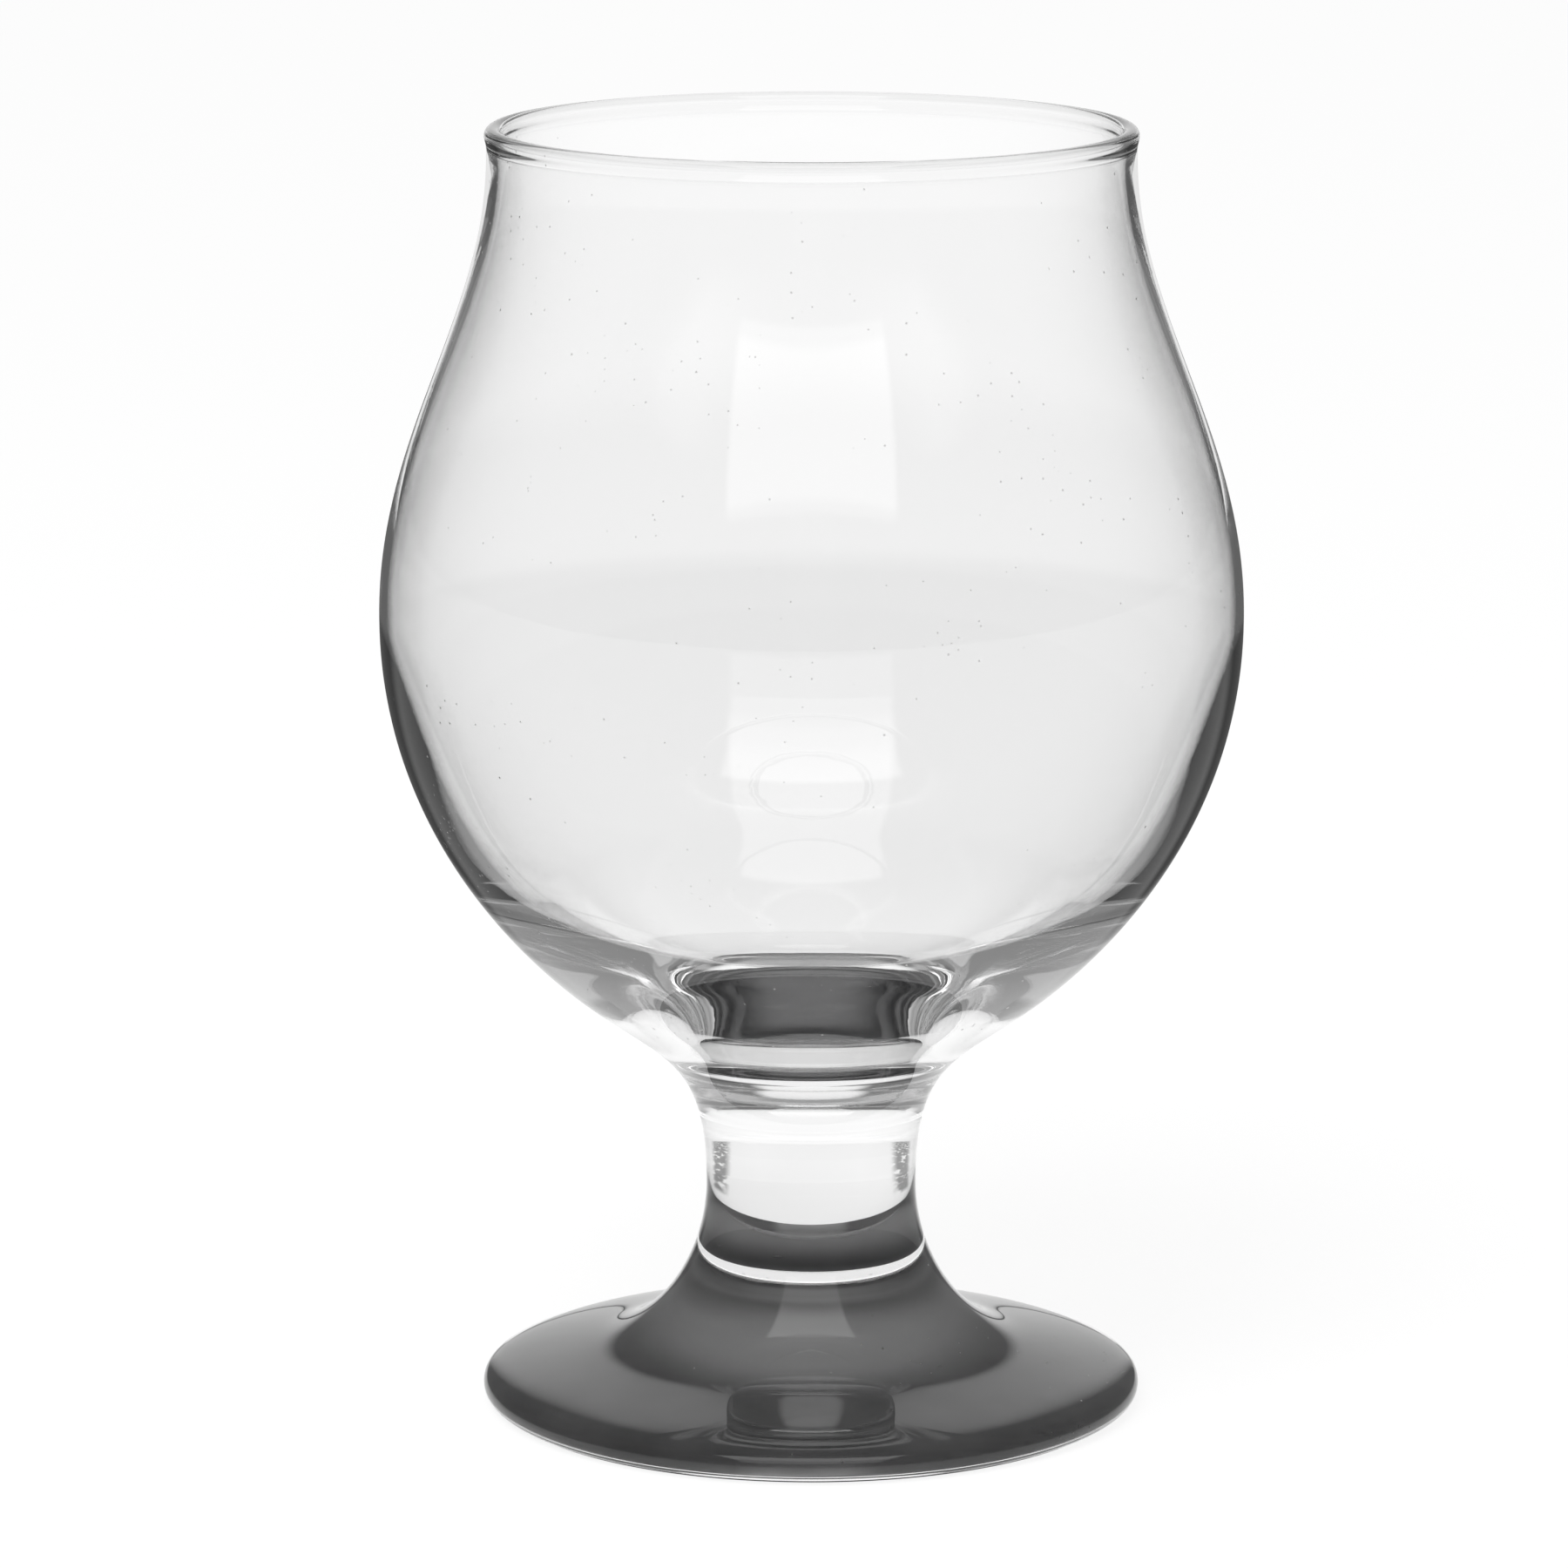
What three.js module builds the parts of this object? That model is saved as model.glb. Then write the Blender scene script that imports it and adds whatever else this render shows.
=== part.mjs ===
// Stemmed beer glass: a clear blown bowl, a solid stem and a pressed round foot, fused while hot.
// A dark coat covers the foot's underside. Every piece is turned about the same upright axis.
// Millimetres, +Z up. The origin is the centre of the ring on which the glass stands.
import * as THREE from 'three';

// Bowl, outside
const TOTAL_HEIGHT = 146;
const RIM_DIAMETER = 72.9;
const RIM_BEAD = 2; // thickness of the rounded rim
const BEAD_PROUD = 0.25; // how far the bead stands out from the neck
const NECK_DROP = 2.8; // from the rim's top down to the neck
const BELLY_DIAMETER = 97.2;
const BELLY_HEIGHT = 90.9;
const UNDER_BOWL_DIAMETER = 48.7; // where the bowl's round underside turns into the stem's fillet
const UNDER_BOWL_RISE = 20.6; // of that turn above the waist
const UNDER_BOWL_SLOPE = 35; // degrees

// Bowl, inside
const NECK_WALL = 1.4;
const BELLY_WALL = 0.9;
const INSIDE_TURN_DIAMETER = 60.4; // where the inside's wall turns into its bottom
const INSIDE_TURN_RISE = 10.6; // of that turn above the outside's turn
const INSIDE_TURN_SLOPE = 27.8; // degrees
const BOTTOM_RISE = 10.9; // of the inside's lowest point above the weld to the stem

// Stem
const WAIST_DIAMETER = 23.9;
const WAIST_HEIGHT = 25.2;
const BOWL_WELD_RISE = 6.8; // of the weld to the bowl above the waist
const FOOT_WELD_DROP = 8.7; // of the weld to the foot below the waist

// Foot
const FOOT_DIAMETER = 75.1;
const BROW_DIAMETER = 50; // where the flare runs out on the foot's top
const BROW_HEIGHT = 6.4;
const BROW_SLOPE = 14.5; // degrees
const EDGE_RADIUS = 1.7;
const EDGE_SLOPE = 40; // of the foot's top where its round edge begins, in degrees
const STANDING_RING = 2.6; // width of the flat ring on which the glass stands
const HOLLOW_HEIGHT = 2; // of the dished underside at its middle
const HOLLOW_SLOPE = 4.6; // of the dish at the standing ring, in degrees
const COAT = 0.2; // thickness of the dark coat, more than a real one so that it holds as a solid

// How long each smooth stretch holds the direction of its upper and lower end, as shares of its length
const RIM_EASE = [0.2, 0.6];
const NECK_EASE = [0.349, 0.389];
const LOWER_BOWL_EASE = [0.53, 0.105];
const FILLET_EASE = [0.429, 0.536];
const INSIDE_WALL_EASE = [0.298, 0.269];
const INSIDE_BOTTOM_EASE = [0.770, 0.550];
const FLARE_EASE = [0.326, 0.393];
const BROW_EASE = [0.305, 0.14];
const HOLLOW_EASE = [0.15, 0.527];

// Facets
const ROUND_STEPS = 48;
const ARC_STEPS = 8;
const SHORT_STEPS = 4;
const LONG_STEPS = 10;

// Headings on the outline, in degrees
const DOWN = -90;
const INWARD = 180;

// A station is a point of the outline and the heading with which the outline runs through it.
function station(radius, height, heading) {
  const angle = THREE.MathUtils.degToRad(heading);
  return {
    at: new THREE.Vector2(radius, height),
    way: new THREE.Vector2(Math.cos(angle), Math.sin(angle)),
  };
}

// The smooth stretch from one station to the next.
function stretch(from, to, [lead, trail]) {
  const length = from.at.distanceTo(to.at);
  return new THREE.CubicBezierCurve(
    from.at,
    from.at.clone().addScaledVector(from.way, lead * length),
    to.at.clone().addScaledVector(to.way, -trail * length),
    to.at,
  );
}

// Points along a curve, or along the part of it between two of its parameters.
function along(curve, steps, start = 0, end = 1) {
  return Array.from({ length: steps + 1 }, (_, i) => curve.getPoint(start + ((end - start) * i) / steps));
}

// The parameter at which a falling curve passes a height.
function passing(curve, height) {
  let [above, below] = [0, 1];
  for (let i = 0; i < 40; i += 1) {
    const middle = (above + below) / 2;
    if (curve.getPoint(middle).y > height) above = middle;
    else below = middle;
  }
  return above;
}

// Points on a circular arc of the outline, from one angle to another.
function arc(centreRadius, centreHeight, radius, from, to) {
  return Array.from({ length: ARC_STEPS + 1 }, (_, i) => {
    const angle = THREE.MathUtils.degToRad(from + ((to - from) * i) / ARC_STEPS);
    const spoke = new THREE.Vector2(Math.cos(angle), Math.sin(angle)).multiplyScalar(radius);
    return new THREE.Vector2(centreRadius, centreHeight).add(spoke);
  });
}

// A closed piece turned from its outline, which starts and ends on the axis. Repeated points are dropped.
function turned(name, outline, material) {
  const points = outline.filter((point, i) => i === 0 || point.distanceTo(outline[i - 1]) > 1e-6);
  const geometry = new THREE.LatheGeometry(points.reverse(), ROUND_STEPS).rotateX(Math.PI / 2);
  const mesh = new THREE.Mesh(geometry, material);
  mesh.name = name;
  return mesh;
}

const clearGlass = () => new THREE.MeshStandardMaterial({
  color: 0xeef2f1,
  roughness: 0.03,
  metalness: 0,
  transparent: true,
  opacity: 0.4,
});
const darkCoat = () => new THREE.MeshStandardMaterial({ color: 0x4b4b4b, roughness: 0.35, metalness: 0 });
const onAxis = (height) => new THREE.Vector2(0, height);

// Stations down the outside of the glass
const beadRadius = RIM_BEAD / 2;
const beadHeight = TOTAL_HEIGHT - beadRadius;
const beadCentre = RIM_DIAMETER / 2 - beadRadius;
const neckRadius = RIM_DIAMETER / 2 - BEAD_PROUD;
const neckHeight = TOTAL_HEIGHT - NECK_DROP;
const turnHeight = WAIST_HEIGHT + UNDER_BOWL_RISE;
const rim = station(RIM_DIAMETER / 2, beadHeight, DOWN);
const neck = station(neckRadius, neckHeight, DOWN);
const belly = station(BELLY_DIAMETER / 2, BELLY_HEIGHT, DOWN);
const underBowl = station(UNDER_BOWL_DIAMETER / 2, turnHeight, UNDER_BOWL_SLOPE - INWARD);
const waist = station(WAIST_DIAMETER / 2, WAIST_HEIGHT, DOWN);
const brow = station(BROW_DIAMETER / 2, BROW_HEIGHT, -BROW_SLOPE);

// The two stretches that the welds cut through
const fillet = stretch(underBowl, waist, FILLET_EASE);
const flare = stretch(waist, brow, FLARE_EASE);
const bowlWeldHeight = WAIST_HEIGHT + BOWL_WELD_RISE;
const footWeldHeight = WAIST_HEIGHT - FOOT_WELD_DROP;
const bowlWeld = passing(fillet, bowlWeldHeight);
const footWeld = passing(flare, footWeldHeight);
const filletAtWeld = new THREE.Vector2(fillet.getPoint(bowlWeld).x, bowlWeldHeight);
const flareAtWeld = new THREE.Vector2(flare.getPoint(footWeld).x, footWeldHeight);

// Where the foot's round edge has its centre
const edgeCentre = FOOT_DIAMETER / 2 - EDGE_RADIUS;

// The bowl: up its inside from the lowest point, over the bead and down its outside to the weld
function makeBowl() {
  const insideRim = station(beadCentre - beadRadius, beadHeight, DOWN);
  const insideNeck = station(neckRadius - NECK_WALL, neckHeight, DOWN);
  const insideBelly = station(BELLY_DIAMETER / 2 - BELLY_WALL, BELLY_HEIGHT, DOWN);
  const insideTurnHeight = turnHeight + INSIDE_TURN_RISE;
  const insideTurn = station(INSIDE_TURN_DIAMETER / 2, insideTurnHeight, INSIDE_TURN_SLOPE - INWARD);
  const insideBottom = station(0, bowlWeldHeight + BOTTOM_RISE, INWARD);
  const inside = [
    ...along(stretch(insideRim, insideNeck, RIM_EASE), SHORT_STEPS),
    ...along(stretch(insideNeck, insideBelly, NECK_EASE), LONG_STEPS),
    ...along(stretch(insideBelly, insideTurn, INSIDE_WALL_EASE), LONG_STEPS),
    ...along(stretch(insideTurn, insideBottom, INSIDE_BOTTOM_EASE), LONG_STEPS),
  ];
  const outline = [
    ...inside.reverse(),
    ...arc(beadCentre, beadHeight, beadRadius, INWARD, 0),
    ...along(stretch(rim, neck, RIM_EASE), SHORT_STEPS),
    ...along(stretch(neck, belly, NECK_EASE), LONG_STEPS),
    ...along(stretch(belly, underBowl, LOWER_BOWL_EASE), LONG_STEPS),
    ...along(fillet, SHORT_STEPS, 0, bowlWeld).slice(0, -1),
    filletAtWeld,
    onAxis(bowlWeldHeight),
  ];
  return turned('bowl', outline, clearGlass());
}

// The stem: solid, from one weld over the waist to the other
function makeStem() {
  const outline = [
    onAxis(bowlWeldHeight),
    filletAtWeld,
    ...along(fillet, SHORT_STEPS, bowlWeld, 1).slice(1),
    ...along(flare, SHORT_STEPS, 0, footWeld).slice(0, -1),
    flareAtWeld,
    onAxis(footWeldHeight),
  ];
  return turned('stem', outline, clearGlass());
}

// The underside from the foot's edge in to the axis, raised by a height: the standing ring and the dish
function underside(rise) {
  const dishRim = station(edgeCentre - STANDING_RING, rise, INWARD - HOLLOW_SLOPE);
  const dishMiddle = station(0, HOLLOW_HEIGHT + rise, INWARD);
  return [
    new THREE.Vector2(edgeCentre, rise),
    ...along(stretch(dishRim, dishMiddle, HOLLOW_EASE), SHORT_STEPS),
  ];
}

// The foot: down its flare and top, round its edge and in along its underside, which lies on the coat
function makeFoot() {
  const edge = arc(edgeCentre, EDGE_RADIUS + COAT, EDGE_RADIUS, 90 - EDGE_SLOPE, DOWN);
  const edgeTop = station(edge[0].x, edge[0].y, -EDGE_SLOPE);
  const outline = [
    onAxis(footWeldHeight),
    flareAtWeld,
    ...along(flare, SHORT_STEPS, footWeld, 1).slice(1),
    ...along(stretch(brow, edgeTop, BROW_EASE), SHORT_STEPS),
    ...edge,
    ...underside(COAT),
  ];
  return turned('foot', outline, clearGlass());
}

// The coat: an even layer under the whole underside
function makeCoat() {
  const outline = [...underside(COAT).reverse(), ...underside(0)];
  return turned('foot_coat', outline, darkCoat());
}

const glass = new THREE.Group();
glass.add(makeBowl(), makeStem(), makeFoot(), makeCoat());

export default glass;
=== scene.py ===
"""Dresses the stemmed beer glass: clear turned pieces, a dark coat under the foot and a white studio."""

import logging
import math
from dataclasses import dataclass, field
from enum import Enum

import bmesh
import bpy
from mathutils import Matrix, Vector


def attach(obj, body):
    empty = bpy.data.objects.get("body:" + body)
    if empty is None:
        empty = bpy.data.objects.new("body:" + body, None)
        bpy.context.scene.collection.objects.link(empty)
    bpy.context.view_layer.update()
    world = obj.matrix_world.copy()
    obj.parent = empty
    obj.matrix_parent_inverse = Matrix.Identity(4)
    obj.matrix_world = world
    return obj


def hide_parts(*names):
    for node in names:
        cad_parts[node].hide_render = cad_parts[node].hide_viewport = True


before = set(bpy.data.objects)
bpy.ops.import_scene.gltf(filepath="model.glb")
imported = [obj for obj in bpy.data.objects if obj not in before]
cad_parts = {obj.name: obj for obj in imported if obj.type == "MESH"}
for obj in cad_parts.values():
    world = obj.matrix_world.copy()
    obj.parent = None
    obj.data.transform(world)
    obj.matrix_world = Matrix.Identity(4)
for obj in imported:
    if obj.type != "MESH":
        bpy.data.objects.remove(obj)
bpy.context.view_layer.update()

LOG = logging.getLogger("beer_glass")
MM = 0.001
QUARTER_TURN = 90.0
DOWN = -QUARTER_TURN
INWARD = 2 * QUARTER_TURN
HALVINGS = 40

Socket = bpy.types.NodeSocket
Colour = tuple[float, float, float, float]
Span = tuple[float, float]


class Part(Enum):
    """The solids of the glass, by node name."""

    BOWL = "bowl"
    STEM = "stem"
    FOOT = "foot"
    COAT = "foot_coat"


class Slot(Enum):
    """The record's material slots."""

    BOWL_GLASS = "bowl_glass"
    STEM_GLASS = "stem_glass"
    FOOT_GLASS = "foot_glass"
    FOOT_COAT = "foot_coat"


class Facing(Enum):
    """What a run of an outline is faced with, by the material's place on the piece."""

    FINISH = 0
    WELD = 1


@dataclass(frozen=True)
class Station:
    """A point of an outline, in millimetres, and the heading in degrees with which the outline passes it."""

    radius: float
    height: float
    heading: float = 0.0

    @property
    def at(self) -> Vector:
        """The point itself."""
        return Vector((self.radius, self.height))

    @property
    def way(self) -> Vector:
        """The heading as a unit direction."""
        angle = math.radians(self.heading)
        return Vector((math.cos(angle), math.sin(angle)))


@dataclass(frozen=True)
class Stretch:
    """A smooth stretch of an outline from one station to the next."""

    start: Station
    end: Station
    ease: Span

    def point(self, share: float) -> Vector:
        """Finds one point of the stretch.

        Args:
            share: How far along it lies, from 0 to 1.

        Returns:
            The point, in millimetres.
        """
        length = (self.end.at - self.start.at).length
        lead = self.start.at + self.start.way * self.ease[0] * length
        trail = self.end.at - self.end.way * self.ease[1] * length
        rest = 1.0 - share
        outer = self.start.at * rest**3 + self.end.at * share**3
        return outer + lead * (3 * rest**2 * share) + trail * (3 * rest * share**2)

    def points(self, steps: int, first: float = 0.0, last: float = 1.0) -> list[Vector]:
        """Lists points in order along the stretch, or along the part of it between two shares."""
        return [self.point(first + (last - first) * i / steps) for i in range(steps + 1)]

    def passing(self, height: float) -> float:
        """Finds where a falling stretch passes a height.

        Args:
            height: The height, in millimetres.

        Returns:
            The share along the stretch.
        """
        above, below = 0.0, 1.0
        for _ in range(HALVINGS):
            middle = (above + below) / 2
            if self.point(middle).y > height:
                above = middle
            else:
                below = middle
        return above


def arc(centre: Station, radius: float, first: float, last: float, steps: int) -> list[Vector]:
    """Lists points in order on a circular arc of an outline, from one angle to another in degrees."""
    angles = (math.radians(first + (last - first) * i / steps) for i in range(steps + 1))
    return [centre.at + Vector((math.cos(a), math.sin(a))) * radius for a in angles]


@dataclass(frozen=True)
class Run:
    """Points of an outline with one facing. The edges where two runs meet are sharp."""

    points: list[Vector]
    facing: Facing = Facing.FINISH


@dataclass(frozen=True)
class Lathe:
    """Turns outlines about the upright axis into closed meshes."""

    sides: int = 160
    on_axis: float = 1e-6
    same_point: float = 1e-4

    def turn(self, name: str, runs: list[Run]) -> bpy.types.Object:
        """Turns one closed piece.

        Args:
            name: The piece's name.
            runs: The outline's runs in order, from the axis back to the axis.

        Returns:
            The new object.
        """
        mesh = bpy.data.meshes.new(name)
        body = bmesh.new()
        ring = self._ring(body, runs[0].points[0])
        for number, run in enumerate(runs):
            before = run.points[0]
            if number > 0:
                self._sharpen(body, ring)
            for point in run.points[1:]:
                if (point - before).length < self.same_point:
                    continue
                after = self._ring(body, point)
                self._band(body, ring, after, run.facing)
                ring, before = after, point
        bmesh.ops.recalc_face_normals(body, faces=body.faces)
        body.to_mesh(mesh)
        body.free()
        piece = bpy.data.objects.new(name, mesh)
        bpy.context.scene.collection.objects.link(piece)
        return piece

    def _ring(self, body: bmesh.types.BMesh, point: Vector) -> list[bmesh.types.BMVert]:
        """Makes the ring of vertices that one point of the outline sweeps.

        Args:
            body: The mesh under construction.
            point: The point, in millimetres.

        Returns:
            The ring, or a single vertex for a point on the axis.
        """
        radius, height = point.x * MM, point.y * MM
        if point.x < self.on_axis:
            return [body.verts.new((0.0, 0.0, height))]
        turns = (2 * math.pi * i / self.sides for i in range(self.sides))
        return [body.verts.new((radius * math.cos(a), radius * math.sin(a), height)) for a in turns]

    def _band(
        self,
        body: bmesh.types.BMesh,
        ring: list[bmesh.types.BMVert],
        after: list[bmesh.types.BMVert],
        facing: Facing,
    ) -> None:
        """Makes the band of faces between two rings.

        Args:
            body: The mesh under construction.
            ring: The ring that the outline reaches first.
            after: The next ring.
            facing: What the faces are faced with.
        """
        for i in range(self.sides):
            j = (i + 1) % self.sides
            corners = [ring[i % len(ring)], after[i % len(after)]]
            if len(after) > 1:
                corners.append(after[j])
            if len(ring) > 1:
                corners.append(ring[j])
            face = body.faces.new(corners)
            face.smooth = True
            face.material_index = facing.value

    def _sharpen(self, body: bmesh.types.BMesh, ring: list[bmesh.types.BMVert]) -> None:
        """Marks the edges round a ring as sharp.

        Args:
            body: The mesh under construction.
            ring: The ring where two runs meet.
        """
        for i, vertex in enumerate(ring):
            edge = body.edges.get((vertex, ring[(i + 1) % len(ring)]))
            if edge is not None:
                edge.smooth = False


class Nodes:
    """Adds linked nodes to a node tree."""

    def __init__(self, tree: bpy.types.NodeTree) -> None:
        """Takes the tree that the nodes go into."""
        self.tree = tree

    def add(self, kind: str, inputs: dict | None = None, **settings: object) -> bpy.types.Node:
        """Adds one node.

        Args:
            kind: The node's type name.
            inputs: For each input, by name or place, a value or the output socket that feeds it.
            **settings: Properties of the node.

        Returns:
            The new node.
        """
        node = self.tree.nodes.new(kind)
        for name, value in settings.items():
            setattr(node, name, value)
        for key, value in (inputs or {}).items():
            if isinstance(value, Socket):
                self.tree.links.new(value, node.inputs[key])
            else:
                node.inputs[key].default_value = value
        return node

    def maths(self, operation: str, *values: float | Socket) -> Socket:
        """Adds a Math node for numbers or output sockets, and gives its result."""
        return self.add("ShaderNodeMath", dict(enumerate(values)), operation=operation).outputs[0]

    def ramp(
        self, value: Socket, low: float, high: float, start: float = 0.0, end: float | Socket = 1.0
    ) -> Socket:
        """Adds a smooth step from a start to an end, while a value goes from low to high."""
        inputs = {"Value": value, "From Min": low, "From Max": high, "To Min": start, "To Max": end}
        return self.add("ShaderNodeMapRange", inputs, interpolation_type="SMOOTHSTEP").outputs[0]

    def turn_ramp(
        self, angle: Socket, place: float, soft: float, start: float = 0.0, end: float = 1.0
    ) -> Socket:
        """Adds a smooth step at a place of an angle, as far as the softness to either side, in degrees."""
        return self.ramp(angle, math.radians(place - soft), math.radians(place + soft), start, end)

    def product(self, *values: float | Socket) -> Socket:
        """Multiplies two or more values.

        Args:
            *values: Numbers or output sockets.

        Returns:
            The product's socket.
        """
        whole = values[0]
        for value in values[1:]:
            whole = self.maths("MULTIPLY", whole, value)
        return whole

    def length(self, place: Socket) -> Socket:
        """Adds the length of a vector."""
        return self.add("ShaderNodeVectorMath", {0: place}, operation="LENGTH").outputs["Value"]

    def noise(self, place: Socket, scale: float | Socket, detail: float = 2.0) -> Socket:
        """Adds a noise texture and gives its value."""
        inputs = {"Vector": place, "Scale": scale, "Detail": detail}
        return self.add("ShaderNodeTexNoise", inputs).outputs[0]

    def mix(self, share: Socket, first: float | Socket, second: float | Socket) -> Socket:
        """Adds a mix of two values."""
        return self.add("ShaderNodeMix", {0: share, 2: first, 3: second}).outputs[0]

    def blend(self, share: Socket, first: Colour | Socket, second: Colour | Socket) -> Socket:
        """Adds a mix of two colours."""
        return self.add("ShaderNodeMix", {0: share, 6: first, 7: second}, data_type="RGBA").outputs[2]

    def feed(self, node: bpy.types.Node, inputs: dict[str, Socket]) -> None:
        """Links sockets to a node's inputs by name."""
        for name, socket in inputs.items():
            self.tree.links.new(socket, node.inputs[name])


@dataclass
class Effects:
    """The shader node groups that several finishes share, each built once."""

    ripple_drawn: tuple[float, float, float] = (1.0, 1.0, 2.2)
    broad_detail: float = 1.0
    ripple_finer: float = 3.7
    speck_edge: Span = (0.06, 0.16)
    patch_scale: float = 45.0
    patch_edge: Span = (0.45, 0.75)
    ripple: bpy.types.NodeTree = field(init=False)
    dust: bpy.types.NodeTree = field(init=False)

    def __post_init__(self) -> None:
        """Builds the groups."""
        self.ripple = self._ripple()
        self.dust = self._dust()

    @staticmethod
    def _group(
        name: str, inputs: dict[str, float], output: str
    ) -> tuple[Nodes, bpy.types.Node, bpy.types.Node]:
        """Starts a group with its sockets.

        Args:
            name: The group's name.
            inputs: The inputs with their values.
            output: The output's name.

        Returns:
            The group's nodes, its input node and its output node.
        """
        tree = bpy.data.node_groups.new(name, "ShaderNodeTree")
        for label, value in inputs.items():
            socket = tree.interface.new_socket(label, in_out="INPUT", socket_type="NodeSocketFloat")
            socket.default_value = value
        tree.interface.new_socket(output, in_out="OUTPUT", socket_type="NodeSocketFloat")
        nodes = Nodes(tree)
        return nodes, nodes.add("NodeGroupInput"), nodes.add("NodeGroupOutput")

    def _ripple(self) -> bpy.types.NodeTree:
        """Builds the soft waviness that fire polishing leaves, drawn out round the axis.

        Returns:
            The group.
        """
        nodes, given, made = self._group("polish_ripple", {"Scale": 60.0, "Fine": 0.3}, "Height")
        place = nodes.add("ShaderNodeTexCoord").outputs["Object"]
        drawn = nodes.add("ShaderNodeMapping", {"Vector": place, "Scale": self.ripple_drawn}).outputs[0]
        broad = nodes.noise(drawn, given.outputs["Scale"], self.broad_detail)
        fine = nodes.noise(drawn, nodes.product(given.outputs["Scale"], self.ripple_finer))
        share = nodes.product(fine, given.outputs["Fine"])
        nodes.feed(made, {"Height": nodes.maths("ADD", broad, share)})
        return nodes.tree

    def _dust(self) -> bpy.types.NodeTree:
        """Builds a mask of fine specks that gather in patches.

        Returns:
            The group.
        """
        nodes, given, made = self._group("fine_dust", {"Scale": 900.0, "Amount": 0.3}, "Mask")
        place = nodes.add("ShaderNodeTexCoord").outputs["Object"]
        cells = nodes.add("ShaderNodeTexVoronoi", {"Vector": place, "Scale": given.outputs["Scale"]})
        dots = nodes.ramp(cells.outputs["Distance"], *self.speck_edge, 1.0, 0.0)
        chance = nodes.add("ShaderNodeSeparateColor", {0: cells.outputs["Color"]}).outputs[0]
        patches = nodes.noise(place, self.patch_scale)
        reach = nodes.product(nodes.ramp(patches, *self.patch_edge), given.outputs["Amount"])
        nodes.feed(made, {"Mask": nodes.product(dots, nodes.maths("LESS_THAN", chance, reach))})
        return nodes.tree


def start_finish(name: str) -> tuple[bpy.types.Material, Nodes, bpy.types.Node]:
    """Starts a finish.

    Args:
        name: The material's name.

    Returns:
        The material, its nodes and its shader.
    """
    material = bpy.data.materials.new(name)
    material.use_nodes = True
    return material, Nodes(material.node_tree), material.node_tree.nodes["Principled BSDF"]


@dataclass(frozen=True)
class ClearGlass:
    """Clear fire-polished glass with a faint ripple and a little dust. Depths are in metres."""

    name: str
    tint: Colour = (1.0, 1.0, 1.0, 1.0)
    dust_tint: Colour = (0.45, 0.45, 0.44, 1.0)
    ior: float = 1.52
    polish: float = 0.0
    dust_roughness: float = 0.3
    dust_scale: float = 900.0
    dust_amount: float = 0.25
    ripple_scale: float = 55.0
    ripple_fine: float = 0.25
    ripple_depth: float = 0.00001
    pit_depth: float = 1.5

    def make(self, effects: Effects) -> bpy.types.Material:
        """Makes the material.

        Args:
            effects: The shared effects.

        Returns:
            The material.
        """
        material, nodes, shader = start_finish(self.name)
        shader.inputs["Transmission Weight"].default_value = 1.0
        shader.inputs["IOR"].default_value = self.ior
        waves = {"Scale": self.ripple_scale, "Fine": self.ripple_fine}
        ripple = nodes.add("ShaderNodeGroup", waves, node_tree=effects.ripple).outputs["Height"]
        specks = {"Scale": self.dust_scale, "Amount": self.dust_amount}
        mask = nodes.add("ShaderNodeGroup", specks, node_tree=effects.dust).outputs["Mask"]
        height = nodes.maths("MULTIPLY_ADD", mask, self.pit_depth, ripple)
        bump = nodes.add("ShaderNodeBump", {"Height": height, "Distance": self.ripple_depth})
        nodes.feed(shader, {
            "Base Color": nodes.blend(mask, self.tint, self.dust_tint),
            "Roughness": nodes.ramp(mask, 0.0, 1.0, self.polish, self.dust_roughness),
            "Normal": bump.outputs[0],
        })
        return material


@dataclass(frozen=True)
class HotWeld:
    """The face of a hot weld, which can't be seen in the glass."""

    name: str = "hot_weld"

    def make(self) -> bpy.types.Material:
        """Makes the material.

        Returns:
            The material.
        """
        material, _, shader = start_finish(self.name)
        shader.inputs["Alpha"].default_value = 0.0
        return material


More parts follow.
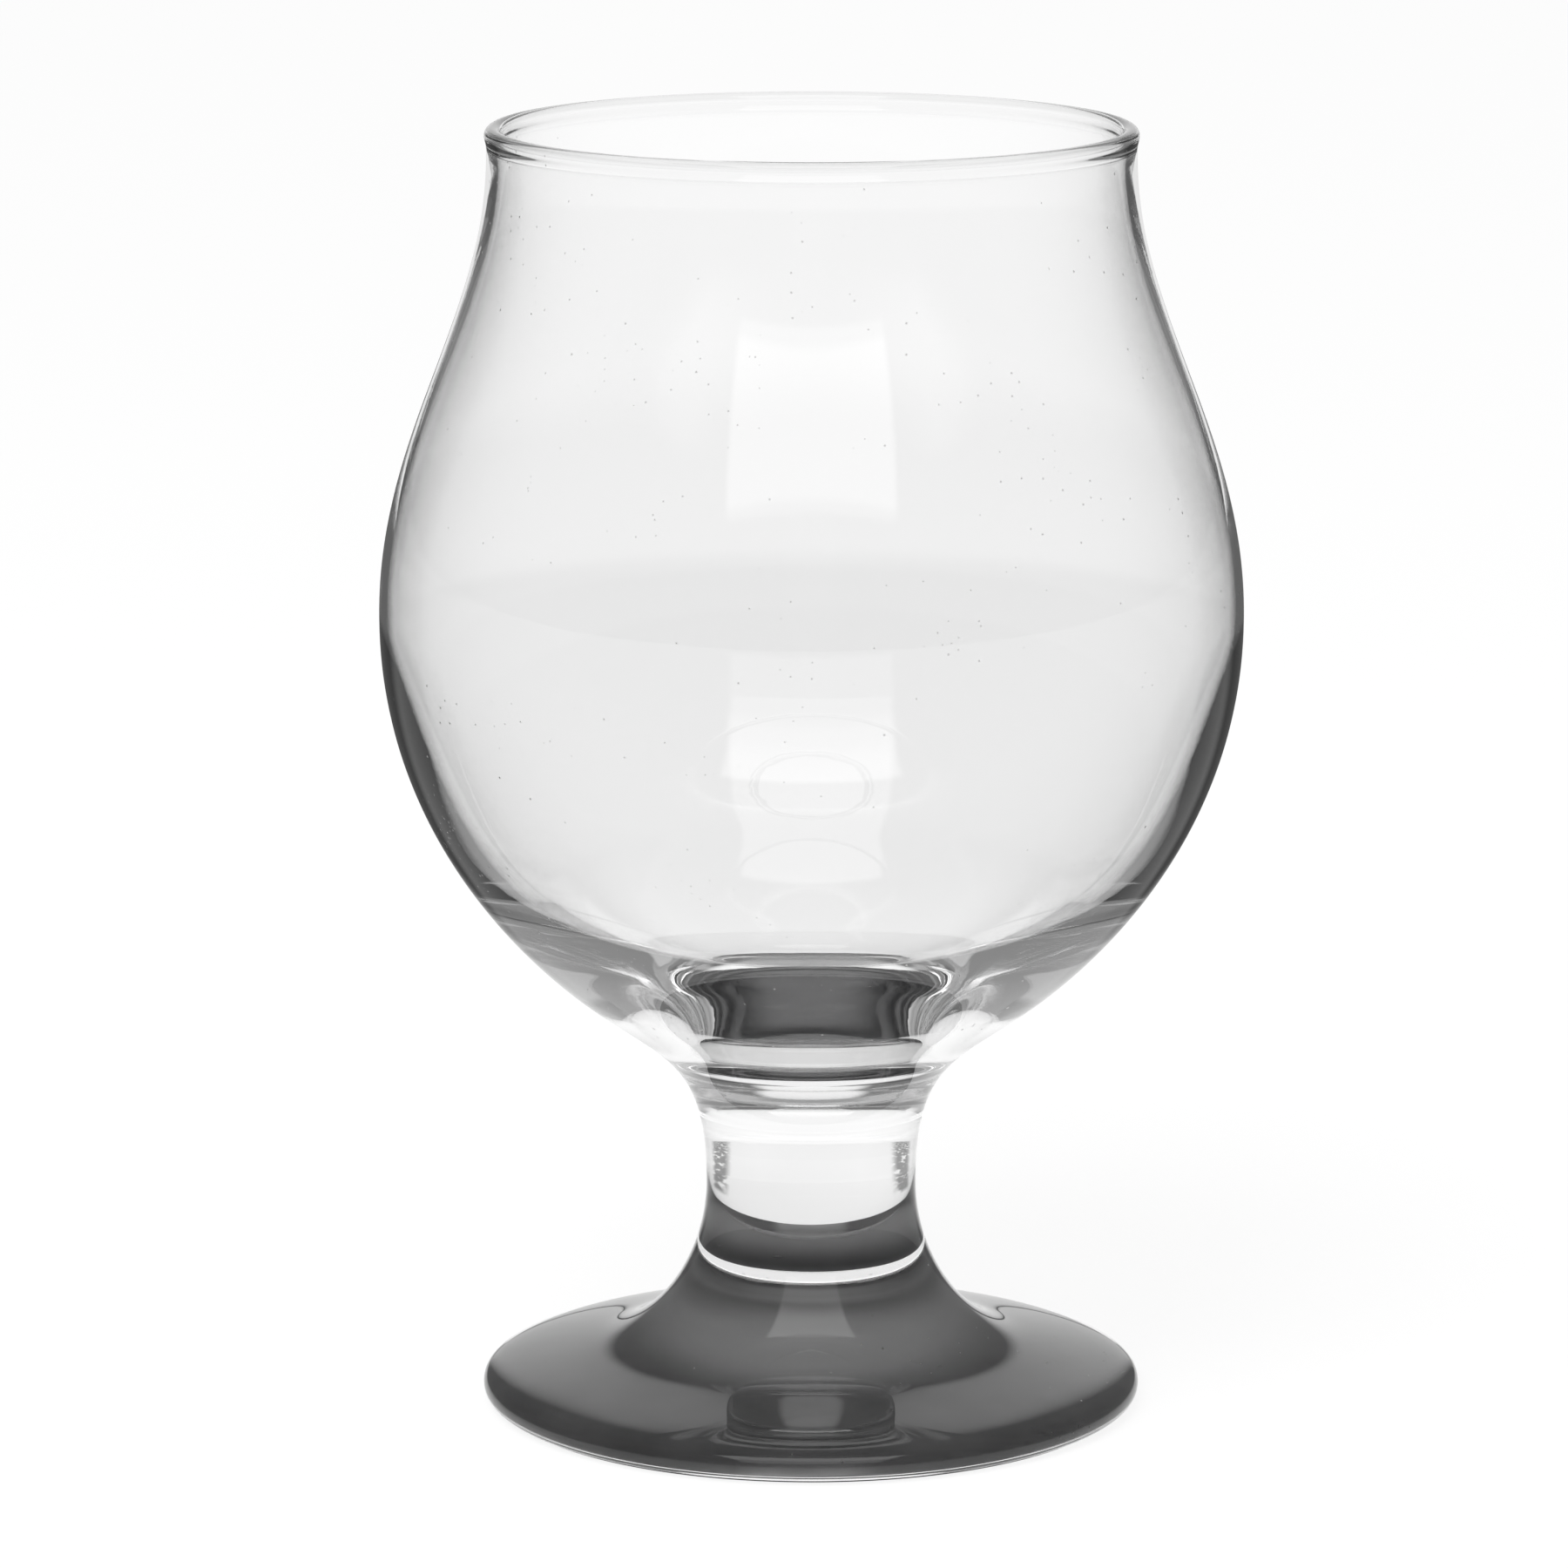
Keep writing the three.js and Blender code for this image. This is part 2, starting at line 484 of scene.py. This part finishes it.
@dataclass(frozen=True)
class DarkCoat:
    """Dark grey lacquer, slightly cloudy, with painted light that makes it paler round the middle under the
    stem. Radii and depths are in metres.
    """

    name: str = "dark_coat"
    deep: Colour = (0.07, 0.07, 0.071, 1.0)
    pale: Colour = (0.1, 0.1, 0.101, 1.0)
    # painted light: the paler middle colour stands in for light on the coat's centre under the stem, where
    # little light reaches
    middle: Colour = (0.28, 0.28, 0.282, 1.0)
    painted_light_radii: Span = (0.008, 0.022)
    cloud_scale: float = 90.0
    cloud_detail: float = 4.0
    cloud_edge: Span = (0.3, 0.7)
    roughness: Span = (0.3, 0.5)
    gloss: float = 0.15
    speck_scale: float = 1100.0
    speck_amount: float = 0.4
    ripple_scale: float = 120.0
    ripple_depth: float = 0.00003

    def make(self, effects: Effects) -> bpy.types.Material:
        """Makes the material.

        Args:
            effects: The shared effects.

        Returns:
            The material.
        """
        material, nodes, shader = start_finish(self.name)
        shader.inputs["Specular IOR Level"].default_value = self.gloss
        place = nodes.add("ShaderNodeTexCoord").outputs["Object"]
        clouds = nodes.noise(place, self.cloud_scale, self.cloud_detail)
        specks = {"Scale": self.speck_scale, "Amount": self.speck_amount}
        mask = nodes.add("ShaderNodeGroup", specks, node_tree=effects.dust).outputs["Mask"]
        share = nodes.maths("MAXIMUM", nodes.ramp(clouds, *self.cloud_edge), mask)
        level = {0: place, 1: (1.0, 1.0, 0.0)}
        flat = nodes.add("ShaderNodeVectorMath", level, operation="MULTIPLY").outputs[0]
        # painted light: the coat turns paler towards the axis, standing in for light on its poorly lit
        # centre under the stem
        painted_light_share = nodes.ramp(nodes.length(flat), *self.painted_light_radii, 1.0, 0.0)
        waves = {"Scale": self.ripple_scale}
        ripple = nodes.add("ShaderNodeGroup", waves, node_tree=effects.ripple).outputs["Height"]
        bump = nodes.add("ShaderNodeBump", {"Height": ripple, "Distance": self.ripple_depth})
        nodes.feed(shader, {
            "Base Color": nodes.blend(painted_light_share, nodes.blend(share, self.deep, self.pale), self.middle),
            "Roughness": nodes.ramp(clouds, *self.cloud_edge, *self.roughness),
            "Normal": bump.outputs[0],
        })
        return material


def seat(piece: bpy.types.Object, part: Part, slot: Slot, *finishes: bpy.types.Material) -> None:
    """Gives a piece its finishes and puts it in the frame in place of its solid.

    Args:
        piece: The piece.
        part: The solid that it stands for.
        slot: The record's slot for its finish. Not used.
        *finishes: The materials by place, the finish first.
    """
    for finish in finishes:
        piece.data.materials.append(finish)
    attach(piece, "root")
    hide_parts(part.value)


@dataclass(frozen=True)
class Stem:
    """The solid waisted stem between its welds, with the curves that run on into the bowl and the foot.

    Sizes are in millimetres and degrees, here and in the other pieces.
    """

    waist_radius: float = 11.95
    waist_height: float = 25.2
    under_bowl: Station = Station(24.35, 45.8, 35.0 - INWARD)
    brow: Station = Station(25.0, 6.4, -14.5)
    fillet_ease: Span = (0.429, 0.536)
    flare_ease: Span = (0.326, 0.393)
    bowl_weld: float = 32.0
    foot_weld: float = 16.5
    steps: int = 40

    @property
    def waist(self) -> Station:
        """The stem's narrowest place."""
        return Station(self.waist_radius, self.waist_height, DOWN)

    @property
    def fillet(self) -> Stretch:
        """The stretch from the bowl's underside down to the waist."""
        return Stretch(self.under_bowl, self.waist, self.fillet_ease)

    @property
    def flare(self) -> Stretch:
        """The stretch from the waist down to the foot's top."""
        return Stretch(self.waist, self.brow, self.flare_ease)

    def build(self, lathe: Lathe, glass: bpy.types.Material, weld: bpy.types.Material) -> bpy.types.Object:
        """Builds the stem.

        Args:
            lathe: The lathe that turns it.
            glass: Its finish.
            weld: The finish of its two weld faces.

        Returns:
            The stem.
        """
        upper = self.fillet.points(self.steps, self.fillet.passing(self.bowl_weld), 1.0)
        lower = self.flare.points(self.steps, 0.0, self.flare.passing(self.foot_weld))
        runs = [
            Run([Vector((0.0, self.bowl_weld)), upper[0]], Facing.WELD),
            Run(upper + lower[1:]),
            Run([lower[-1], Vector((0.0, self.foot_weld))], Facing.WELD),
        ]
        piece = lathe.turn("clear_stem", runs)
        seat(piece, Part.STEM, Slot.STEM_GLASS, glass, weld)
        return piece


@dataclass(frozen=True)
class Bowl:
    """The blown bowl: rounded rim, drawn-in neck, round belly and thick bottom."""

    stem: Stem
    height: float = 146.0
    rim_radius: float = 36.45
    bead_radius: float = 1.0
    neck_radius: float = 36.2
    neck_height: float = 143.2
    belly_radius: float = 48.6
    belly_height: float = 90.9
    neck_wall: float = 1.4
    belly_wall: float = 0.9
    inside_turn: Station = Station(30.2, 56.4, 27.8 - INWARD)
    inside_bottom: Station = Station(0.0, 42.9, INWARD)
    rim_ease: Span = (0.2, 0.6)
    neck_ease: Span = (0.349, 0.389)
    lower_ease: Span = (0.53, 0.105)
    inside_wall_ease: Span = (0.298, 0.269)
    inside_bottom_ease: Span = (0.77, 0.55)
    bead_steps: int = 24
    rim_steps: int = 10
    wall_steps: int = 60
    bottom_steps: int = 60

    def inside(self) -> list[Vector]:
        """Lists the inside's points from the rim down to the lowest one.

        Returns:
            The points in order.
        """
        bead = self.rim_radius - self.bead_radius
        rim = Station(bead - self.bead_radius, self.height - self.bead_radius, DOWN)
        neck = Station(self.neck_radius - self.neck_wall, self.neck_height, DOWN)
        belly = Station(self.belly_radius - self.belly_wall, self.belly_height, DOWN)
        bottom = Stretch(self.inside_turn, self.inside_bottom, self.inside_bottom_ease)
        return [
            *Stretch(rim, neck, self.rim_ease).points(self.rim_steps),
            *Stretch(neck, belly, self.neck_ease).points(self.wall_steps),
            *Stretch(belly, self.inside_turn, self.inside_wall_ease).points(self.wall_steps),
            *bottom.points(self.bottom_steps),
        ]

    def outside(self) -> list[Vector]:
        """Lists the outside's points from the rim's inner side over the bead and down to the weld.

        Returns:
            The points in order.
        """
        centre = Station(self.rim_radius - self.bead_radius, self.height - self.bead_radius)
        rim = Station(self.rim_radius, centre.height, DOWN)
        neck = Station(self.neck_radius, self.neck_height, DOWN)
        belly = Station(self.belly_radius, self.belly_height, DOWN)
        fillet = self.stem.fillet
        return [
            *arc(centre, self.bead_radius, INWARD, 0.0, self.bead_steps),
            *Stretch(rim, neck, self.rim_ease).points(self.rim_steps),
            *Stretch(neck, belly, self.neck_ease).points(self.wall_steps),
            *Stretch(belly, self.stem.under_bowl, self.lower_ease).points(self.wall_steps),
            *fillet.points(self.bottom_steps, 0.0, fillet.passing(self.stem.bowl_weld)),
        ]

    def build(self, lathe: Lathe, glass: bpy.types.Material, weld: bpy.types.Material) -> bpy.types.Object:
        """Builds the bowl.

        Args:
            lathe: The lathe that turns it.
            glass: Its finish.
            weld: The finish of its weld face.

        Returns:
            The bowl.
        """
        skin = list(reversed(self.inside())) + self.outside()
        runs = [Run(skin), Run([skin[-1], Vector((0.0, self.stem.bowl_weld))], Facing.WELD)]
        piece = lathe.turn("clear_bowl", runs)
        seat(piece, Part.BOWL, Slot.BOWL_GLASS, glass, weld)
        return piece


@dataclass(frozen=True)
class Foot:
    """The pressed foot: flare, round edge, standing ring and dished underside, with its dark coat."""

    stem: Stem
    radius: float = 37.55
    edge_radius: float = 1.7
    edge_slope: float = 40.0
    standing_ring: float = 2.6
    hollow_height: float = 2.0
    hollow_slope: float = 4.6
    coat: float = 0.2
    coat_bite: float = 0.012
    brow_ease: Span = (0.305, 0.14)
    hollow_ease: Span = (0.15, 0.527)
    flare_steps: int = 60
    brow_steps: int = 30
    edge_steps: int = 24
    under_steps: int = 30

    @property
    def edge_centre(self) -> float:
        """Radius at which the round edge has its centre and the coat ends."""
        return self.radius - self.edge_radius

    def underside(self, rise: float) -> list[Vector]:
        """Lists the underside's points from the edge in to the axis.

        Args:
            rise: How far the underside is raised, in millimetres.

        Returns:
            The points in order.
        """
        ring = Station(self.edge_centre - self.standing_ring, rise, INWARD - self.hollow_slope)
        middle = Station(0.0, self.hollow_height + rise, INWARD)
        dish = Stretch(ring, middle, self.hollow_ease).points(self.under_steps)
        return [Vector((self.edge_centre, rise)), *dish]

    def build(self, lathe: Lathe, glass: bpy.types.Material, weld: bpy.types.Material) -> bpy.types.Object:
        """Builds the foot.

        Args:
            lathe: The lathe that turns it.
            glass: Its finish.
            weld: The finish of its weld face.

        Returns:
            The foot.
        """
        flare = self.stem.flare
        top = flare.points(self.flare_steps, flare.passing(self.stem.foot_weld), 1.0)
        centre = Station(self.edge_centre, self.edge_radius + self.coat)
        edge = arc(centre, self.edge_radius, QUARTER_TURN - self.edge_slope, DOWN, self.edge_steps)
        edge_top = Station(edge[0].x, edge[0].y, -self.edge_slope)
        brow = Stretch(self.stem.brow, edge_top, self.brow_ease).points(self.brow_steps)
        under = self.underside(self.coat)
        runs = [
            Run([Vector((0.0, self.stem.foot_weld)), top[0]], Facing.WELD),
            Run([*top, *brow, *edge, under[1]]),
            Run(under[1:]),
        ]
        piece = lathe.turn("clear_foot", runs)
        seat(piece, Part.FOOT, Slot.FOOT_GLASS, glass, weld)
        return piece

    def build_coat(self, lathe: Lathe, finish: bpy.types.Material) -> bpy.types.Object:
        """Builds the coat, which bites a hair into the glass so that the two hold to each other.

        Args:
            lathe: The lathe that turns it.
            finish: Its finish.

        Returns:
            The coat.
        """
        upper = list(reversed(self.underside(self.coat + self.coat_bite)))
        lower = self.underside(0.0)
        runs = [
            Run(upper[:-1]),
            Run(upper[-2:]),
            Run([upper[-1], lower[0]]),
            Run(lower[:2]),
            Run(lower[1:]),
        ]
        piece = lathe.turn("foot_coat_layer", runs)
        seat(piece, Part.COAT, Slot.FOOT_COAT, finish)
        return piece


@dataclass(frozen=True)
class PhotoCamera:
    """The camera at the photograph's place, in millimetres and degrees."""

    distance: float = 835.0
    height: float = 238.94
    pitch: float = 11.349
    aside: float = 0.2121
    lens: float = 172.93
    sensor: float = 36.0

    def build(self) -> None:
        """Builds the camera and makes it the scene's own."""
        data = bpy.data.cameras.new("photo_camera")
        data.sensor_width = self.sensor
        data.lens = self.lens
        camera = bpy.data.objects.new("photo_camera", data)
        camera.location = (0.0, -self.distance * MM, self.height * MM)
        camera.rotation_euler = (math.radians(QUARTER_TURN - self.pitch), 0.0, math.radians(self.aside))
        bpy.context.scene.collection.objects.link(camera)
        bpy.context.scene.camera = camera


class LightPaths:
    """How light that reaches the stage was seen. A depth over the limit is a bounce or more."""

    LIMIT: float = 0.5

    def __init__(self, nodes: Nodes) -> None:
        """Adds the light path's node and its tests.

        Args:
            nodes: The nodes to add to.
        """
        paths = nodes.add("ShaderNodeLightPath").outputs
        once = nodes.maths("GREATER_THAN", paths["Glossy Depth"], self.LIMIT)
        unspread = nodes.maths("LESS_THAN", paths["Diffuse Depth"], self.LIMIT)
        glossy = nodes.maths("MAXIMUM", paths["Is Camera Ray"], paths["Is Glossy Ray"])
        self.straight = paths["Is Camera Ray"]
        self.looked = nodes.maths("MAXIMUM", glossy, paths["Is Transmission Ray"])
        self.mirrored = nodes.product(once, unspread)


@dataclass(frozen=True)
class Surroundings:
    """The light all round: white where it is seen, and a dim room with a bright panel where it is mirrored.

    Angles are in degrees. The panel's half width and its soft side are sines of angles.
    """

    soft_light: float = 0.85
    dark_room: float = 0.06
    dim_sides: float = 0.2
    sides_turn: Span = (80.0, 130.0)
    ceiling: float = 0.3
    ceiling_rise: float = 75.0
    backdrop_reach: float = 15.0
    backdrop_top: float = 45.0
    near_edge: float = 4.0
    high_edge: float = 8.0
    panel_glow: Span = (0.95, 1.9)
    panel_brightens: Span = (44.5, 52.5)
    panel_rise: Span = (28.5, 74.0)
    panel_edges: Span = (1.0, 2.0)
    panel_half: float = 0.38
    panel_side: float = 0.02

    def build(self) -> None:
        """Builds the world."""
        world = bpy.data.worlds.new("studio")
        bpy.context.scene.world = world
        world.use_nodes = True
        world.node_tree.nodes.clear()
        nodes = Nodes(world.node_tree)
        paths = LightPaths(nodes)
        shown = nodes.mix(paths.mirrored, 1.0, self._room(nodes))
        strength = nodes.mix(paths.looked, self.soft_light, shown)
        light = nodes.add("ShaderNodeBackground", {"Color": (1.0, 1.0, 1.0, 1.0), "Strength": strength})
        nodes.add("ShaderNodeOutputWorld", {0: light.outputs[0]})

    def _room(self, nodes: Nodes) -> Socket:
        """Adds the room that the glass mirrors.

        Args:
            nodes: The nodes to add to.

        Returns:
            The room's brightness.
        """
        way = nodes.add("ShaderNodeTexCoord").outputs["Generated"]
        x, y, z = nodes.add("ShaderNodeSeparateXYZ", {0: way}).outputs
        behind = nodes.maths("ABSOLUTE", nodes.maths("ARCTAN2", x, y))
        rise = nodes.maths("ARCSINE", z)
        first, last = (math.radians(turn) for turn in self.sides_turn)
        room = nodes.ramp(behind, first, last, self.dim_sides, self.dark_room)
        ceiling = nodes.turn_ramp(rise, self.ceiling_rise, self.high_edge, 0.0, self.ceiling)
        backdrop = nodes.product(
            nodes.turn_ramp(behind, self.backdrop_reach, self.near_edge, 1.0, 0.0),
            nodes.turn_ramp(rise, self.backdrop_top, self.high_edge, 1.0, 0.0),
        )
        for light in (ceiling, backdrop, self._panel(nodes, x, y, z)):
            room = nodes.maths("MAXIMUM", room, light)
        return room

    def _panel(self, nodes: Nodes, x: Socket, y: Socket, z: Socket) -> Socket:
        """Adds the bright panel over the camera.

        Args:
            nodes: The nodes to add to.
            x: The direction's part to the right.
            y: Its part away from the camera.
            z: Its part upwards.

        Returns:
            The panel's brightness.
        """
        over = nodes.maths("ARCTAN2", z, nodes.product(y, -1.0))
        aside = nodes.maths("ABSOLUTE", x)
        first, last = (math.radians(angle) for angle in self.panel_brightens)
        half, soft = self.panel_half, self.panel_side
        return nodes.product(
            nodes.ramp(over, first, last, *self.panel_glow),
            nodes.turn_ramp(over, self.panel_rise[0], self.panel_edges[0]),
            nodes.turn_ramp(over, self.panel_rise[1], self.panel_edges[1], 1.0, 0.0),
            nodes.ramp(aside, half - soft, half + soft, 1.0, 0.0),
        )


@dataclass(frozen=True)
class PaleFloor:
    """The pale floor, which shows white and keeps the glass's shadow.

    Where it is mirrored, only a sweep behind the glass is white. Where it is seen through the glass, it has
    a mottled dark patch at either side. Lengths are in metres and angles in degrees.
    """

    size: float = 24.0
    drop: float = 0.00005
    colour: Colour = (0.9, 0.9, 0.9, 1.0)
    glow: float = 0.86
    dim: float = 0.12
    side_dim: float = 0.4
    side_turn: float = 36.0
    side_edge: float = 5.0
    sweep_half: Span = (0.06, 0.6)
    sweep_widens: Span = (1.05, 1.28)
    sweep_far: Span = (2.3, 5.5)
    sweep_spread: float = 1.4
    sweep_glow: float = 0.78
    sweep_edge: float = 0.03
    sweep_front: float = 0.045
    patch_angles: Span = (38.0, 56.0)
    patch_edge: float = 4.0
    patch_starts: Span = (0.057, 0.067)
    patch_ends: Span = (0.65, 0.7)
    patch_tone: float = 0.2
    mottle_scale: float = 45.0
    mottle_edge: Span = (0.35, 0.5)
    near_shade: float = 0.91
    near_reach: Span = (0.48, 0.62)
    far_shade: float = 1.065
    far_reach: Span = (0.8, 1.0)

    def build(self) -> None:
        """Builds the floor."""
        half = self.size / 2
        corners = [(-half, -half, 0.0), (half, -half, 0.0), (half, half, 0.0), (-half, half, 0.0)]
        mesh = bpy.data.meshes.new("floor")
        mesh.from_pydata(corners, [], [(0, 1, 2, 3)])
        mesh.materials.append(self._finish())
        floor = bpy.data.objects.new("floor", mesh)
        floor.location.z = -self.drop
        bpy.context.scene.collection.objects.link(floor)

    def _finish(self) -> bpy.types.Material:
        """Makes the floor's material.

        Returns:
            The material.
        """
        material = bpy.data.materials.new("pale_floor")
        material.use_nodes = True
        material.node_tree.nodes.clear()
        nodes = Nodes(material.node_tree)
        paths = LightPaths(nodes)
        place = nodes.add("ShaderNodeTexCoord").outputs["Object"]
        x, y, _ = nodes.add("ShaderNodeSeparateXYZ", {0: place}).outputs
        aside = nodes.maths("ABSOLUTE", x)
        turn = nodes.maths("ARCTAN2", aside, y)
        shade = nodes.product(
            nodes.ramp(y, *self.near_reach, self.near_shade, 1.0),
            nodes.ramp(y, *self.far_reach, 1.0, self.far_shade),
        )
        patch = nodes.product(self._patch(nodes, place, turn), nodes.maths("SUBTRACT", 1.0, paths.straight))
        bare = nodes.product(nodes.maths("SUBTRACT", 1.0, patch), nodes.mix(paths.straight, shade, 1.0))
        strength = nodes.mix(paths.mirrored, bare, self._sweep(nodes, aside, y, turn))
        seen = nodes.product(paths.looked, self.glow)
        share = nodes.maths("MAXIMUM", seen, nodes.product(paths.looked, paths.mirrored))
        matt = nodes.add("ShaderNodeBsdfDiffuse", {"Color": self.colour})
        glow = nodes.add("ShaderNodeEmission", {"Strength": strength})
        whole = nodes.add("ShaderNodeMixShader", {0: share, 1: matt.outputs[0], 2: glow.outputs[0]})
        nodes.add("ShaderNodeOutputMaterial", {0: whole.outputs[0]})
        return material

    def _sweep(self, nodes: Nodes, aside: Socket, y: Socket, turn: Socket) -> Socket:
        """Adds the floor as the glass mirrors it: a white sweep behind, which widens, and dim sides.

        Args:
            nodes: The nodes to add to.
            aside: Distance from the middle line.
            y: Distance behind the glass.
            turn: Angle from straight behind, in radians.

        Returns:
            The mirrored floor's brightness.
        """
        spread = nodes.ramp(y, *self.sweep_far, 0.0, self.sweep_spread)
        half = nodes.maths("ADD", nodes.ramp(y, *self.sweep_widens, *self.sweep_half), spread)
        past = nodes.maths("SUBTRACT", aside, half)
        past = nodes.maths("MAXIMUM", past, nodes.maths("SUBTRACT", -self.sweep_front, y))
        dim = nodes.turn_ramp(turn, self.side_turn, self.side_edge, self.dim, self.side_dim)
        return nodes.product(
            nodes.ramp(past, -self.sweep_edge, self.sweep_edge, 1.0, dim),
            nodes.ramp(y, *self.sweep_widens, 1.0, self.sweep_glow),
        )

    def _patch(self, nodes: Nodes, place: Socket, turn: Socket) -> Socket:
        """Adds the mottled dark patch that the thick glass shows at either side.

        Args:
            nodes: The nodes to add to.
            place: The place on the floor.
            turn: Angle from straight behind, in radians.

        Returns:
            How much the patch darkens the floor.
        """
        away = nodes.length(place)
        first, last = self.patch_angles
        return nodes.product(
            nodes.turn_ramp(turn, first, self.patch_edge, 0.0, 1.0 - self.patch_tone),
            nodes.turn_ramp(turn, last, self.patch_edge, 1.0, 0.0),
            nodes.ramp(away, *self.patch_starts),
            nodes.ramp(away, *self.patch_ends, 1.0, 0.0),
            nodes.ramp(nodes.noise(place, self.mottle_scale), *self.mottle_edge),
        )


@dataclass(frozen=True)
class SoftLamp:
    """The soft lamp that gives the floor its shadow, in metres and watts."""

    power: float = 9.0
    size: float = 0.6
    place: tuple[float, float, float] = (-0.25, -0.55, 0.9)

    def build(self) -> None:
        """Hangs the lamp, which only lights the scene and isn't seen itself."""
        data = bpy.data.lights.new("soft_lamp", "AREA")
        data.energy = self.power
        data.size = self.size
        lamp = bpy.data.objects.new("soft_lamp", data)
        lamp.location = self.place
        lamp.rotation_euler = (-Vector(self.place)).to_track_quat("-Z", "Y").to_euler()
        lamp.visible_camera = False
        lamp.visible_glossy = False
        lamp.visible_transmission = False
        bpy.context.scene.collection.objects.link(lamp)


@dataclass(frozen=True)
class Studio:
    """A plain white studio, with enough light bounces for the thick glass."""

    bounces: int = 32
    mirror_bounces: int = 16

    def build(self) -> None:
        """Builds the studio."""
        bpy.context.scene.view_settings.view_transform = "Standard"
        cycles = bpy.context.scene.cycles
        cycles.max_bounces = self.bounces
        cycles.transmission_bounces = self.bounces
        cycles.transparent_max_bounces = self.bounces
        cycles.glossy_bounces = self.mirror_bounces
        Surroundings().build()
        PaleFloor().build()
        SoftLamp().build()
        LOG.info("studio: surroundings, floor and lamp")


def main() -> None:
    """Builds the camera, the studio and the glass in order."""
    logging.basicConfig(level=logging.INFO, format="%(name)s %(message)s")
    PhotoCamera().build()
    Studio().build()
    effects = Effects()
    weld = HotWeld().make()
    lathe = Lathe()
    stem = Stem()
    bowl = Bowl(stem)
    foot = Foot(stem)
    pieces = [
        bowl.build(lathe, ClearGlass("bowl_glass").make(effects), weld),
        stem.build(lathe, ClearGlass("stem_glass").make(effects), weld),
        foot.build(lathe, ClearGlass("foot_glass", dust_amount=0.6).make(effects), weld),
        foot.build_coat(lathe, DarkCoat().make(effects)),
    ]
    for piece in pieces:
        LOG.info("%s: %d faces", piece.name, len(piece.data.polygons))


if __name__ == "__main__":
    main()
